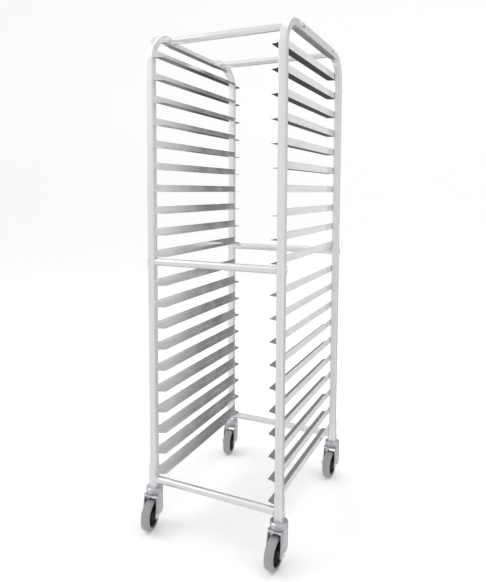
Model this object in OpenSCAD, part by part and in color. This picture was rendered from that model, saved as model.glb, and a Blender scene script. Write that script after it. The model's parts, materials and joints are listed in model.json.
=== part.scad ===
// End-load sheet pan rack: four bent-top square posts, six round crossbars,
// twenty pairs of angle slides and four swivel stem casters.
// +X is the right side, -Y is the loading side, +Z is up, and the floor is z = 0.

/* [Overall] */
// Width over the outer faces of the posts
rack_w = 508; // [440:0.1:640]
// Depth over the front and rear faces of the posts
rack_d = 660.4; // [560:0.1:820]
// Space between the top slide's shelf and the centre line of the top crossbars
headroom = 80.3; // [72:0.1:110]

/* [Posts] */
// Outer size of the square post tube
post_size = 25.4; // [24:0.1:31]
// Wall of the post tube
post_wall = 1.6; // [1.2:0.1:2.2]
// Outside corner radius of the post tube
post_corner = 3.4; // [2.6:0.1:5]
// Centre line radius of the bend at the top of each post
bend_radius = 88.9; // [80:0.1:96]
// Length of straight tube past the bend
bend_tail = 72; // [66:1:90]

/* [Slides] */
// Distance from one slide to the next
slide_pitch = 76.2; // [63.5:0.1:92]
// Distance across the wider space that the middle crossbars pass through
mid_pitch = 101.6; // [96:0.1:124]
// Height of the lowest slide above the foot of the post
first_slide_rise = 46.8; // [46:0.1:60]
// Sheet thickness of the slides
slide_t = 1.6; // [1.2:0.1:2.4]
// Height of the slide's upright flange
slide_web = 25.4; // [20:0.1:32]
// Width of the slide's shelf flange
slide_shelf = 31.75; // [25:0.05:38]
// Setback of the upright flange's end from the post's outer face
web_setback = 8; // [4:0.5:9]
// Setback of the shelf's inner corner from the post's outer face
shelf_setback = 19; // [14:0.5:24]

/* [Crossbars] */
// Outer diameter of the crossbar tube
bar_d = 25.4; // [22:0.1:25.4]
// Wall of the crossbar tube
bar_wall = 1.6; // [1.2:0.1:2.2]
// Height of the lower crossbars above the foot of the post
low_bar_rise = 26.4; // [26:0.1:28]
// Sheet thickness of the collars that carry the crossbars
collar_t = 2; // [1.5:0.1:4]
// Height of the collars on the middle crossbars
mid_collar_h = 30; // [27:0.5:34]
// Length of the collars on the top crossbars
top_collar_len = 30; // [27:0.5:34]
// Height of the sleeves at the feet of the posts
foot_sleeve_h = 79; // [70:1:90]

/* [Top rails] */
// Sheet thickness of the top rails
rail_t = 2; // [1.6:0.1:2.6]
// Width of the top rail's lower flange
rail_shelf = 28; // [24:0.5:34]

/* [Casters] */
// Wheel diameter
wheel_d = 106; // [96:1:130]
// Wheel width
wheel_w = 30; // [28:0.5:34]
// Radial depth of the tyre
tyre_depth = 12; // [10:0.5:16]
// Space between the top of the wheel and the fork's crown
crown_gap = 15; // [10:0.5:20]
// Distance from the swivel's axis to the front edge of the crown
crown_reach = 40; // [36:0.5:46]
// Height of the raised race on the fork's crown
hat_h = 4; // [3:0.5:8]
// Height of the swivel cap above the balls
cap_h = 8.3; // [8:0.1:13]
// Offset of the wheel's axle behind the swivel's axis
trail = 38; // [30:0.5:42]
// Heading of the left casters, from straight to the front
left_heading = 10; // [-30:1:30]
// Heading of the right casters, from straight to the front
right_heading = -2; // [-30:1:30]
// Outer diameter of the swivel race
race_d = 60; // [56:0.5:62]
// Sheet thickness of the fork
fork_t = 3; // [2.5:0.1:3.5]
// Gap between the wheel and each leg of the fork
leg_gap = 7; // [5:0.25:8]
// Diameter of the axle bolt
axle_d = 9.5; // [8:0.1:10.5]

/* [Fasteners] */
// Diameter of the bolts that hold the crossbars
bar_bolt_d = 8; // [6:0.1:9]
// Diameter of the rivets that hold the slides
rivet_d = 4.8; // [4:0.1:5.2]
// Diameter of the screws that hold the top rails
rail_screw_d = 5; // [4:0.1:5.5]
// Diameter of the caster's stem
stem_d = 12.7; // [10:0.1:13]

/* [Hidden] */
$fn = 64;
level_count = 20;
upper_levels = 10;
two_digits = function(n) n < 10 ? str("0", n) : str(n);
SLIDES = [for (i = [1:level_count]) str("slide_pair_", two_digits(i))];
CORNERS = ["front_left", "front_right", "rear_left", "rear_right"];

// Clearances
slip = 0.1;          // round a fastener, a plug or a collar
run = 0.06;          // round a turning shaft
part_gap = 0.5;      // between two pieces that pass each other
cut = 1;             // how far a cutting shape runs past a face

// Heights and plan positions
post_x = rack_w / 2 - post_size / 2;
post_y = rack_d / 2 - post_size / 2;
ball_d = 4.5;         // balls of the swivel race
foot_z = wheel_d + crown_gap + fork_t + hat_h + ball_d + 2 * slip + cap_h;
inner_face = rack_w / 2 - post_size;
low_bar_z = foot_z + low_bar_rise;
last_slide_z = foot_z + first_slide_rise;
first_slide_z = last_slide_z + (level_count - 2) * slide_pitch + mid_pitch;
top_z = first_slide_z + headroom;
bend_z = top_z - bend_radius;
bend_y = post_y - bend_radius;
tail_y = bend_y - bend_tail;
top_bar_y = bend_y - part_gap - top_collar_len / 2 - 9;
function slide_z(i) =
    first_slide_z - (i - 1) * slide_pitch - (i > upper_levels ? mid_pitch - slide_pitch : 0);
mid_bar_z = slide_z(upper_levels) - part_gap - max(mid_collar_h, bar_d) / 2;
low_collar_top = last_slide_z - part_gap;
rivet_rise = slide_t + (slide_web - slide_t) / 2;
collar_face = inner_face - collar_t - slip;
plug_len = 30;
bolt_reach = 22;     // how far a crossbar bolt runs into the bar's plug

// Heads of the fasteners
bolt_head_r = 7;
bolt_head_h = 5;
bolt_rim = 1.2;       // straight edge below the dome
rivet_head_r = 4.2;
rivet_head_h = 1.4;
screw_head_r = 4.5;
screw_head_h = 2;
rail_screw_y = tail_y + 16;

// Casters
wheel_r = wheel_d / 2;
leg_inner = wheel_w / 2 + leg_gap;
leg_outer = leg_inner + fork_t;
race_r = race_d / 2;
crown_z = wheel_d + crown_gap;    // underside of the fork's crown
hat_z = crown_z + fork_t + hat_h;
ball_count = 16;
ball_ring_r = race_r - 2 - ball_d / 2 - 1.5;
king_r = 8;
king_head_r = 12;
ear_r = 13;                       // radius of the leg's lower end
sleeve_r = axle_d / 2 + 2;
hub_r = sleeve_r + 7;
rim_r = wheel_r - tyre_depth;

// Mirrors a shape drawn for the front right corner to any corner
module at_corner(side, end) {
    mirror([side < 0 ? 1 : 0, 0, 0])
        mirror([0, end > 0 ? 1 : 0, 0])
            children();
}

module at_all_corners() {
    for (side = [-1, 1], end = [-1, 1]) at_corner(side, end) children();
}

module rounded_square(size, r) {
    square([size - 2 * r, size], center = true);
    square([size, size - 2 * r], center = true);
    for (sx = [-1, 1], sy = [-1, 1])
        translate([sx * (size / 2 - r), sy * (size / 2 - r)]) circle(r);
}

module square_ring(size, wall, r) {
    difference() {
        rounded_square(size, r);
        rounded_square(size - 2 * wall, max(r - wall, 0.6));
    }
}

// A cylinder that runs along +X from the origin
module rod_x(r, len) {
    rotate([0, 90, 0]) cylinder(r = r, h = len);
}

module tube_x(r, wall, len) {
    difference() {
        rod_x(r, len);
        translate([-cut, 0, 0]) rod_x(r - wall, len + 2 * cut);
    }
}

// ---- Posts ----

module post_holes() {
    for (i = [1:level_count])
        translate([inner_face - cut, -post_y, slide_z(i) + rivet_rise])
            rod_x(rivet_d / 2 + slip, post_wall + 2 * cut);
    for (z = [low_bar_z, mid_bar_z])
        translate([inner_face - cut, -post_y, z])
            rod_x(bar_bolt_d / 2 + slip, post_size + 2 * cut);
    translate([inner_face - cut, -top_bar_y, top_z])
        rod_x(bar_bolt_d / 2 + slip, post_size + 2 * cut);
    translate([rack_w / 2 - post_wall - cut, -rail_screw_y, top_z])
        rod_x(rail_screw_d / 2 + slip, post_wall + 2 * cut);
}

// The tube's upper end is closed by a welded plate
module post_tube() {
    translate([post_x, -post_y, foot_z])
        linear_extrude(bend_z - foot_z) square_ring(post_size, post_wall, post_corner);
    translate([post_x, -bend_y, bend_z])
        rotate([90, 0, -90])
            rotate_extrude(angle = 90)
                translate([bend_radius, 0]) square_ring(post_size, post_wall, post_corner);
    translate([post_x, -tail_y, top_z])
        rotate([90, 0, 0])
            linear_extrude(bend_tail) square_ring(post_size, post_wall, post_corner);
    translate([post_x, -tail_y, top_z])
        rotate([90, 0, 0])
            linear_extrude(post_wall) rounded_square(post_size, post_corner);
}

module post(side, end) {
    color("gainsboro")
        at_corner(side, end)
            difference() {
                post_tube();
                post_holes();
            }
}

// ---- Crossbars ----

module crossbar(y, z) {
    color("whitesmoke")
        translate([-collar_face, y, z]) tube_x(bar_d / 2, bar_wall, 2 * collar_face);
}

// Runs its children at the three places where a bar meets the front right post
module at_bar_ends() {
    at_all_corners() {
        translate([0, -top_bar_y, top_z]) children();
        translate([0, -post_y, mid_bar_z]) children();
        translate([0, -post_y, low_bar_z]) children();
    }
}

module crossbar_end_plugs() {
    color("darkgray")
        at_bar_ends()
            translate([collar_face - plug_len, 0, 0])
                tube_x(bar_d / 2 - bar_wall - slip,
                    bar_d / 2 - bar_wall - 2 * slip - bar_bolt_d / 2, plug_len);
}

// Domed head on the outside, shank through the collar and post into the bar's plug
module crossbar_bolts() {
    head_x = rack_w / 2 + collar_t + slip;
    shank_end = collar_face - bolt_reach - head_x;
    dome = [for (a = [0:18:72]) [bolt_head_r * cos(a), bolt_rim + (bolt_head_h - bolt_rim) * sin(a)]];
    color("silver")
        at_bar_ends()
            translate([head_x, 0, 0])
                rotate([0, 90, 0])
                    rotate_extrude()
                        polygon(concat(
                            [[0, shank_end], [bar_bolt_d / 2, shank_end], [bar_bolt_d / 2, 0],
                            [bolt_head_r, 0]],
                            dome, [[0, bolt_head_h]]));
}

// ---- Collars ----

module collar_ring() {
    square_ring(post_size + 2 * (collar_t + slip), collar_t, post_corner + collar_t);
}

module bolt_hole(y, z) {
    translate([collar_face - cut, y, z])
        rod_x(bar_bolt_d / 2 + slip, post_size + 2 * collar_t + 4 * cut);
}

module top_collars() {
    color("gainsboro")
        at_all_corners()
            difference() {
                translate([post_x, -top_bar_y + top_collar_len / 2, top_z])
                    rotate([90, 0, 0]) linear_extrude(top_collar_len) collar_ring();
                bolt_hole(-top_bar_y, top_z);
            }
}

module mid_collars() {
    color("gainsboro")
        at_all_corners()
            difference() {
                translate([post_x, -post_y, mid_bar_z - mid_collar_h / 2])
                    linear_extrude(mid_collar_h) collar_ring();
                bolt_hole(-post_y, mid_bar_z);
            }
}

// The inner wall stops short of the lowest slide
module foot_sleeves() {
    window = foot_z + foot_sleeve_h - low_collar_top + cut;
    color("lightgray")
        at_all_corners()
            difference() {
                translate([post_x, -post_y, foot_z])
                    linear_extrude(foot_sleeve_h) collar_ring();
                translate([inner_face - collar_t - cut, -rack_d / 2 - collar_t - cut, low_collar_top])
                    cube([collar_t + cut + slip, post_size + 2 * (collar_t + cut), window]);
                bolt_hole(-post_y, low_bar_z);
            }
}

// ---- Top rails ----

module rail_outline() {
    outer = post_size / 2 + slip + rail_t;
    polygon([
        [outer, -outer], [outer, post_size / 2], [outer - rail_t, post_size / 2],
        [outer - rail_t, rail_t - outer], [outer - rail_shelf, rail_t - outer],
        [outer - rail_shelf, -outer]
    ]);
}

module top_rail(side) {
    half = top_bar_y - top_collar_len / 2 - part_gap;
    color("gainsboro")
        mirror([side < 0 ? 1 : 0, 0, 0])
            difference() {
                translate([post_x, half, top_z])
                    rotate([90, 0, 0]) linear_extrude(2 * half) rail_outline();
                for (y = [-rail_screw_y, rail_screw_y])
                    translate([rack_w / 2 - cut, y, top_z])
                        rod_x(rail_screw_d / 2 + slip, rail_t + 2 * cut);
            }
}

module top_rail_screws() {
    face = rack_w / 2 + slip + rail_t;
    color("dimgray")
        at_all_corners()
            translate([0, -rail_screw_y, top_z]) {
                translate([face, 0, 0]) rod_x(screw_head_r, screw_head_h);
                translate([face - rail_t - slip - post_wall - 4, 0, 0])
                    rod_x(rail_screw_d / 2, rail_t + slip + post_wall + 4 + cut);
            }
}

// ---- Slides ----

module shelf_outline() {
    tip = rack_d / 2 - shelf_setback;
    root = rack_d / 2 - web_setback;
    corner = 5;
    polygon([
        [0, -root], [-slide_t, -root], [-2 * corner, -tip - corner], [corner - slide_shelf, -tip],
        [-slide_shelf, corner - tip], [-slide_shelf, tip - corner], [corner - slide_shelf, tip],
        [-2 * corner, tip + corner], [-slide_t, root], [0, root]
    ]);
}

module slide(level) {
    half = rack_d / 2 - web_setback;
    z = slide_z(level);
    difference() {
        translate([inner_face, 0, z]) {
            linear_extrude(slide_t) shelf_outline();
            translate([-slide_t, -half, 0]) cube([slide_t, 2 * half, slide_web]);
        }
        for (y = [-post_y, post_y])
            translate([inner_face - slide_t - cut, y, z + rivet_rise])
                rod_x(rivet_d / 2 + slip, slide_t + 2 * cut);
    }
}

module slide_pair(level) {
    color("whitesmoke") {
        slide(level);
        mirror([1, 0, 0]) slide(level);
    }
}

module slide_rivets() {
    face = inner_face - slide_t;
    color("silver")
        at_all_corners()
            for (i = [1:level_count])
                translate([face, -post_y, slide_z(i) + rivet_rise]) {
                    translate([-rivet_head_h, 0, 0]) rod_x(rivet_head_r, rivet_head_h);
                    translate([-rivet_head_h / 2, 0, 0])
                        rod_x(rivet_d / 2, slide_t + post_wall + 2 + rivet_head_h / 2);
                }
}

// ---- Caster pieces that stay with the frame ----

module stem_sockets() {
    size = post_size - 2 * (post_wall + slip);
    height = low_bar_rise - bar_bolt_d / 2 - 2;
    color("dimgray")
        at_all_corners()
            translate([post_x, -post_y, foot_z])
                difference() {
                    linear_extrude(height)
                        rounded_square(size, max(post_corner - post_wall, 0.6));
                    translate([0, 0, -cut]) cylinder(r = stem_d / 2 + slip, h = height + 2 * cut);
                }
}

// Stem, kingpin and the kingpin's peened head, turned as one piece
module caster_stems() {
    stem_len = low_bar_rise - bar_bolt_d / 2 - 3;
    head_top = hat_z - fork_t - part_gap;
    color("silver")
        at_all_corners()
            translate([post_x, -post_y, 0])
                rotate_extrude()
                    polygon([
                        [0, head_top - 4], [king_head_r - 2, head_top - 4],
                        [king_head_r, head_top - 2], [king_head_r, head_top],
                        [king_r, head_top], [king_r, foot_z - part_gap],
                        [stem_d / 2, foot_z - part_gap],
                        [stem_d / 2, foot_z + stem_len - 1], [stem_d / 2 - 1, foot_z + stem_len],
                        [0, foot_z + stem_len]
                    ]);
}

// Stepped pressed cap with a skirt that covers the balls
module swivel_caps() {
    ball_top = hat_z + ball_d + 2 * slip;
    skirt_z = hat_z + 1.2;
    shoulder = 4;
    color("silver")
        at_all_corners()
            translate([post_x, -post_y, 0])
                rotate_extrude()
                    polygon([
                        [king_r + slip, ball_top], [race_r - 2.2, ball_top],
                        [race_r - 2.2, skirt_z], [race_r, skirt_z],
                        [race_r, foot_z - shoulder], [race_r - 1, foot_z - 0.4 * shoulder],
                        [race_r - shoulder, foot_z - slip], [king_r + slip, foot_z - slip]
                    ]);
}

module swivel_balls() {
    color("silver")
        at_all_corners()
            translate([post_x, -post_y, hat_z + ball_d / 2 + slip])
                for (k = [0:ball_count - 1])
                    rotate([0, 0, k * 360 / ball_count])
                        translate([ball_ring_r, 0, 0]) sphere(ball_d / 2);
}

// ---- Swivel and wheel bodies ----
// Drawn about the swivel's axis, with the wheel on the -Y side

module in_caster(side, end) {
    translate([side * post_x, end * post_y, 0])
        rotate([0, 0, side < 0 ? left_heading : right_heading]) children();
}

// The side view of a leg: slanted front edge, bowed rear edge, round lower end
module leg_outline() {
    foot = -trail - ear_r;
    back = race_r - 3;
    top = crown_z + fork_t;
    bow = [for (k = [0:8])
        let (s = k / 8)
        pow(1 - s, 2) * [back, crown_z - 22]
        + 2 * s * (1 - s) * [back + 2, wheel_r - 6]
        + s * s * [ear_r * 0.75 - trail, wheel_r - ear_r * 0.66]];
    polygon(concat([[foot, wheel_r], [-crown_reach, top], [back, top]], bow));
    translate([-trail, wheel_r]) circle(ear_r);
}

// The front view of the fork: an inverted channel with rounded shoulders
module channel_outline() {
    bend = 5;
    top = crown_z + fork_t;
    difference() {
        union() {
            translate([-leg_outer, 0]) square([2 * leg_outer, top - bend]);
            translate([bend - leg_outer, 0]) square([2 * (leg_outer - bend), top]);
            for (s = [-1, 1]) translate([s * (leg_outer - bend), top - bend]) circle(bend);
        }
        translate([-leg_inner, -cut]) square([2 * leg_inner, crown_z - bend + fork_t + cut]);
        translate([bend - fork_t - leg_inner, -cut])
            square([2 * (leg_inner - bend + fork_t), crown_z + cut]);
        for (s = [-1, 1])
            translate([s * (leg_outer - bend), top - bend]) circle(bend - fork_t);
    }
}

module fork(side, end) {
    color("lightslategray")
        in_caster(side, end)
            difference() {
                union() {
                    intersection() {
                        translate([0, race_r + cut, 0])
                            rotate([90, 0, 0])
                                linear_extrude(race_r + trail + ear_r + 3 * cut) channel_outline();
                        translate([-leg_outer - cut, 0, 0])
                            rotate([90, 0, 90])
                                linear_extrude(2 * (leg_outer + cut)) leg_outline();
                    }
                    translate([0, 0, crown_z]) cylinder(r = race_r - 0.8, h = hat_z - crown_z);
                }
                translate([0, 0, crown_z - cut])
                    cylinder(r = king_head_r + 4, h = hat_z - crown_z - fork_t + cut);
                translate([0, 0, crown_z]) cylinder(r = king_r + run, h = hat_z);
                translate([-leg_outer - cut, -trail, wheel_r])
                    rod_x(axle_d / 2 + slip, 2 * (leg_outer + cut));
            }
}

// Bolt with a domed head, a spanner sleeve between the legs and a lock nut
module axle(side, end) {
    head_r = axle_d * 0.84;
    head_h = axle_d * 0.62;
    nut_r = axle_d * 0.86;
    nut_h = axle_d * 0.9;
    tip = leg_outer + slip + nut_h + 2;
    color("silver")
        in_caster(side, end)
            translate([0, -trail, wheel_r])
                mirror([side < 0 || end > 0 ? 1 : 0, 0, 0]) {
                    rotate([0, 90, 0])
                        rotate_extrude()
                            polygon([
                                [0, -leg_outer - slip - head_h],
                                [head_r * 0.6, -leg_outer - slip - head_h],
                                [head_r, -leg_outer - slip - head_h * 0.5],
                                [head_r, -leg_outer - slip], [axle_d / 2, -leg_outer - slip],
                                [axle_d / 2, tip - 1], [axle_d / 2 - 1, tip], [0, tip]
                            ]);
                    difference() {
                        translate([leg_outer + slip, 0, 0])
                            rotate([0, 90, 0]) cylinder(r = nut_r, h = nut_h, $fn = 6);
                        translate([leg_outer, 0, 0]) rod_x(axle_d / 2 + slip, nut_h + cut);
                    }
                    difference() {
                        translate([slip - leg_inner, 0, 0])
                            rod_x(sleeve_r, 2 * (leg_inner - slip));
                        translate([-leg_inner, 0, 0]) rod_x(axle_d / 2 + slip, 2 * leg_inner);
                    }
                }
}

// Moulded core: a hub and a rim joined by a web, recessed on both sides
module wheel_core(side, end) {
    half = wheel_w / 2 - 2;
    hub_half = leg_inner - 1;
    web = 5;
    seat = rim_r - 5;
    color([0.1, 0.1, 0.11])
        in_caster(side, end)
            translate([0, -trail, wheel_r])
                rotate([0, 90, 0])
                    rotate_extrude()
                        polygon([
                            [sleeve_r + run, -hub_half], [hub_r, -hub_half], [hub_r + 2, -web],
                            [seat, -web], [seat + 1, -half], [rim_r, -half],
                            [rim_r, half], [seat + 1, half], [seat, web],
                            [hub_r + 2, web], [hub_r, hub_half], [sleeve_r + run, hub_half]
                        ]);
}

// Solid tyre with rounded shoulders
module tyre(side, end) {
    shoulder = 6;
    half = wheel_w / 2;
    color([0.62, 0.62, 0.63])
        in_caster(side, end)
            translate([0, -trail, wheel_r])
                rotate([0, 90, 0])
                    rotate_extrude() {
                        translate([rim_r, -half])
                            square([tyre_depth - shoulder, wheel_w]);
                        translate([rim_r, shoulder - half])
                            square([tyre_depth, wheel_w - 2 * shoulder]);
                        for (s = [-1, 1])
                            translate([wheel_r - shoulder, s * (half - shoulder)])
                                circle(shoulder);
                    }
}

post(-1, -1);  // post_front_left
post(1, -1);  // post_front_right
post(-1, 1);  // post_rear_left
post(1, 1);  // post_rear_right
crossbar(-top_bar_y, top_z);  // crossbar_top_front
crossbar(top_bar_y, top_z);  // crossbar_top_rear
crossbar(-post_y, mid_bar_z);  // crossbar_mid_front
crossbar(post_y, mid_bar_z);  // crossbar_mid_rear
crossbar(-post_y, low_bar_z);  // crossbar_low_front
crossbar(post_y, low_bar_z);  // crossbar_low_rear
crossbar_end_plugs();
crossbar_bolts();
top_collars();
mid_collars();
foot_sleeves();
top_rail(-1);  // top_rail_left
top_rail(1);  // top_rail_right
top_rail_screws();
for (i = [1:level_count]) slide_pair(i);
slide_rivets();
stem_sockets();
caster_stems();
swivel_caps();
swivel_balls();
for (k = [0:3]) {
    side = k % 2 == 0 ? -1 : 1;
    end = k < 2 ? -1 : 1;
    fork(side, end);
    axle(side, end);
    wheel_core(side, end);
    tyre(side, end);
}
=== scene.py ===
# %% [markdown]
# # A sheet pan rack
#
# The object is a tall bakery rack: four square aluminium posts whose tops bend over towards each other,
# six round crossbars, forty angle slides that carry the pans, and four swivel casters. The engineering
# model already gives every part its true size and place. This lesson keeps that model as a fixed frame
# and builds the pieces whose shape or finish should look better up close.

# %% Load the fixed frame
import json
import math

import bmesh
import bpy
from mathutils import Matrix, Vector


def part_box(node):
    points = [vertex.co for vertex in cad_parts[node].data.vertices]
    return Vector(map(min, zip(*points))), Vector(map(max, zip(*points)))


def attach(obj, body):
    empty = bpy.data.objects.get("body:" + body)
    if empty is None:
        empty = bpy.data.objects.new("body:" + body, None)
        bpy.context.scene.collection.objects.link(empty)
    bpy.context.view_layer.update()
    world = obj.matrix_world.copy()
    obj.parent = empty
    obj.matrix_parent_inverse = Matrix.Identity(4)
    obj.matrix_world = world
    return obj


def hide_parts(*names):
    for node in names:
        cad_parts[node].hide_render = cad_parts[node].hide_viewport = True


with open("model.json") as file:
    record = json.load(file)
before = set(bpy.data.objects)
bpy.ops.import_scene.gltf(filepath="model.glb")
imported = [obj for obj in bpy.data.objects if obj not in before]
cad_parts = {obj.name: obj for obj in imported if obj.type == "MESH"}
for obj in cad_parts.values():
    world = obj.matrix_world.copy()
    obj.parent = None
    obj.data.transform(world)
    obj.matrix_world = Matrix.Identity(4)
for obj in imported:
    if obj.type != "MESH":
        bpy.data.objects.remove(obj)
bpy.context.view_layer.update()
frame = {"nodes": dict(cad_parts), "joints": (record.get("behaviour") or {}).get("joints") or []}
MM = 0.001

# %% [markdown]
# ## Measurements
#
# The posts, bars and wheels are measured from the frame's own nodes, and each caster's swivel axis and
# axle come from the joints in the record. If the model grows or shrinks, these values follow. What a
# node's box can't show, such as a sheet's thickness or a small radius, is a named value beside its piece.

# %% Measure the posts
CORNERS = ("front_left", "front_right", "rear_left", "rear_right")
joints = {joint["name"]: joint for joint in frame["joints"]}


def corners_of(node):
    """The places of all the vertices of a frame node."""
    return [vertex.co.copy() for vertex in frame["nodes"][node].data.vertices]


post_low, post_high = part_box("post_front_right")
post_size = post_high.x - post_low.x
post_x = (post_low.x + post_high.x) / 2
post_y = -post_low.y - post_size / 2
foot_z = post_low.z
tail_y = -post_high.y
top_z = post_high.z - post_size / 2
bend_z = max(spot.z for spot in corners_of("post_front_right") if spot.y < post_low.y + 0.01 * MM)
bend_radius = top_z - bend_z
print("post size", round(post_size, 4), "foot", round(foot_z, 4), "bend radius", round(bend_radius, 4))


# %% Find each corner's side and end
def side_of(corner):
    """+1 on the right and -1 on the left."""
    return 1 if corner.endswith("right") else -1


def end_of(corner):
    """+1 at the rear and -1 at the front."""
    return 1 if corner.startswith("rear") else -1


def caster_frame(corner):
    """The matrix that carries a caster drawn about its swivel axis to its corner."""
    swivel = Vector(joints["caster_swivel_" + corner]["pos_m"])
    axle = Vector(joints["wheel_spin_" + corner]["axis"])
    heading = math.atan2(axle.y, axle.x)
    return Matrix.Translation((swivel.x, swivel.y, 0)) @ Matrix.Rotation(heading, 4, "Z")


wheel_centre = Vector(joints["wheel_spin_front_right"]["pos_m"])
swivel_point = Vector(joints["caster_swivel_front_right"]["pos_m"])
wheel_radius = wheel_centre.z
trail = (wheel_centre - swivel_point).to_2d().length
print("wheel radius", round(wheel_radius, 4), "trail", round(trail, 4))


# %% Measure one caster across its axle
def reach(node, direction, below=10.0, above=-1.0):
    """How far a node's vertices between two heights reach from the front right swivel axis."""
    along = Vector(direction)
    return max((spot - swivel_point).dot(along) for spot in corners_of(node) if above < spot.z < below)


across = Vector(joints["wheel_spin_front_right"]["axis"])
forward = Vector((across.y, -across.x, 0))
half_tyre = reach("tyre_front_right", across)
leg_outer = reach("fork_front_right", across, wheel_radius)
ear_radius = reach("fork_front_right", forward) - trail
hat_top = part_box("fork_front_right")[1].z
crown_reach = reach("fork_front_right", forward, above=hat_top - 10 * MM)
cap_low, cap_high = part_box("swivel_caps")
race_radius = cap_high.x - post_x
print("tyre half width", round(half_tyre, 4), "fork half width", round(leg_outer, 4))

# %% [markdown]
# ## Camera
#
# The rack is seen from its right front corner at about chest height. The camera is almost level, and
# the view is shifted down instead of tilted, which keeps the posts close to upright.

# %% Place the camera
IMAGE_H = 582
CAMERA_ABOVE_FOOT = 1.0653
CAMERA_PLAN = (0.8425, -1.9056)
CAMERA_TURN = math.radians(25.50)
CAMERA_DIP = math.radians(4.41)
CAMERA_ROLL = 0.00325
FOCAL_SHARE = 544.05 / IMAGE_H
SENSOR_MM = 36.0


def add_camera():
    data = bpy.data.cameras.new("rack_camera")
    data.sensor_width = SENSOR_MM
    data.lens = FOCAL_SHARE * SENSOR_MM
    data.shift_x = 0.011
    data.shift_y = -0.099
    data.clip_end = 60
    camera = bpy.data.objects.new("rack_camera", data)
    bpy.context.scene.collection.objects.link(camera)
    turn = Matrix.Rotation(CAMERA_TURN, 4, "Z") @ Matrix.Rotation(math.pi / 2 - CAMERA_DIP, 4, "X")
    spot = Vector((*CAMERA_PLAN, foot_z + CAMERA_ABOVE_FOOT))
    camera.matrix_world = Matrix.Translation(spot) @ turn @ Matrix.Rotation(CAMERA_ROLL, 4, "Z")
    bpy.context.scene.camera = camera
    return camera


camera = add_camera()
print("camera lens", round(camera.data.lens, 2), "mm")

# %% [markdown]
# ## Studio
#
# Bare metal shows what surrounds it, so the light is mostly a large white surround, with a few dark
# things hung in it. A black card low behind the rack darkens the undersides of the slides, and two dark
# upright strips draw a gradient along the slides' flanges and shelves. The floor and the curved wall are
# pale paper that the metal doesn't mirror.

# %% Hang cards in a white surround
WHITE = 1.06
CARDS = {
    "black_card_low_behind": ((-0.42, 0.86, -0.30), 20, 46, 0.72, -0.03),
}
STRIPS = {
    "dark_strip_behind": (112.0, 7.5, 9.5, 0.72),
    "dark_strip_behind_right": (62.5, 3.0, 4.4, 0.86),
}


def add_fade(tree, source, start, full):
    """A smooth rise from 0 at one value to 1 at another."""
    fade = tree.nodes.new("ShaderNodeMapRange")
    fade.interpolation_type = "SMOOTHSTEP"
    fade.inputs["From Min"].default_value = start
    fade.inputs["From Max"].default_value = full
    tree.links.new(source, fade.inputs["Value"])
    return fade.outputs[0]


def add_product(tree, *factors):
    """Multiply sockets and numbers together and return the product's socket."""
    result = factors[0]
    for factor in factors[1:]:
        product = tree.nodes.new("ShaderNodeMath")
        product.operation = "MULTIPLY"
        tree.links.new(result, product.inputs[0])
        if isinstance(factor, float):
            product.inputs[1].default_value = factor
        else:
            tree.links.new(factor, product.inputs[1])
        result = product.outputs[0]
    return result


def add_shade(tree, level, *factors):
    """Take the product of some factors off a level of light and return the new level's socket."""
    rest = tree.nodes.new("ShaderNodeMath")
    rest.operation = "SUBTRACT"
    rest.inputs[0].default_value = 1.0
    tree.links.new(add_product(tree, *factors), rest.inputs[1])
    return add_product(tree, rest.outputs[0], level)


def add_dot(tree, direction, axis):
    """How far a direction lies along an axis."""
    aligned = tree.nodes.new("ShaderNodeVectorMath")
    aligned.operation = "DOT_PRODUCT"
    tree.links.new(direction, aligned.inputs[0])
    aligned.inputs[1].default_value = Vector(axis).normalized()
    return aligned.outputs["Value"]


def add_card(tree, direction, level, aim, inner, outer, darkness, lid):
    """Darken the surround round one direction, below a lid."""
    near = add_fade(tree, add_dot(tree, direction, aim), math.cos(math.radians(outer)),
                    math.cos(math.radians(inner)))
    under = add_fade(tree, add_dot(tree, direction, (0, 0, 1)), lid, lid - 0.12)
    return add_shade(tree, level, near, under, darkness)


def add_strip(tree, direction, level, heading, inner, outer, darkness):
    """Darken an upright strip of the surround; angles are in degrees, the heading from +X to +Y."""
    turn = math.radians(heading)
    side = tree.nodes.new("ShaderNodeMath")
    side.operation = "ABSOLUTE"
    tree.links.new(add_dot(tree, direction, (-math.sin(turn), math.cos(turn), 0)), side.inputs[0])
    near = add_fade(tree, side.outputs[0], math.sin(math.radians(outer)), math.sin(math.radians(inner)))
    ahead = add_fade(tree, add_dot(tree, direction, (math.cos(turn), math.sin(turn), 0)), 0.72, 0.86)
    return add_shade(tree, level, near, ahead, darkness)


def add_world():
    world = bpy.data.worlds.new("white_surround")
    world.use_nodes = True
    bpy.context.scene.world = world
    tree = world.node_tree
    tree.nodes.clear()
    where = tree.nodes.new("ShaderNodeTexCoord").outputs["Generated"]
    white = tree.nodes.new("ShaderNodeValue")
    white.outputs[0].default_value = WHITE
    level = white.outputs[0]
    for card in CARDS.values():
        level = add_card(tree, where, level, *card)
    for strip in STRIPS.values():
        level = add_strip(tree, where, level, *strip)
    surround = tree.nodes.new("ShaderNodeBackground")
    tree.links.new(level, surround.inputs["Strength"])
    out = tree.nodes.new("ShaderNodeOutputWorld")
    tree.links.new(surround.outputs[0], out.inputs["Surface"])


add_world()
print("cards in the surround:", len(CARDS), "strips:", len(STRIPS))


# %% Add two soft lamps
def add_area(name, spot, aim, size, watts):
    data = bpy.data.lights.new(name, "AREA")
    data.shape = "DISK"
    data.size = size
    data.energy = watts
    lamp = bpy.data.objects.new(name, data)
    bpy.context.scene.collection.objects.link(lamp)
    lamp.location = spot
    lamp.rotation_euler = (Vector(aim) - Vector(spot)).to_track_quat("-Z", "Y").to_euler()
    return lamp


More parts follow.
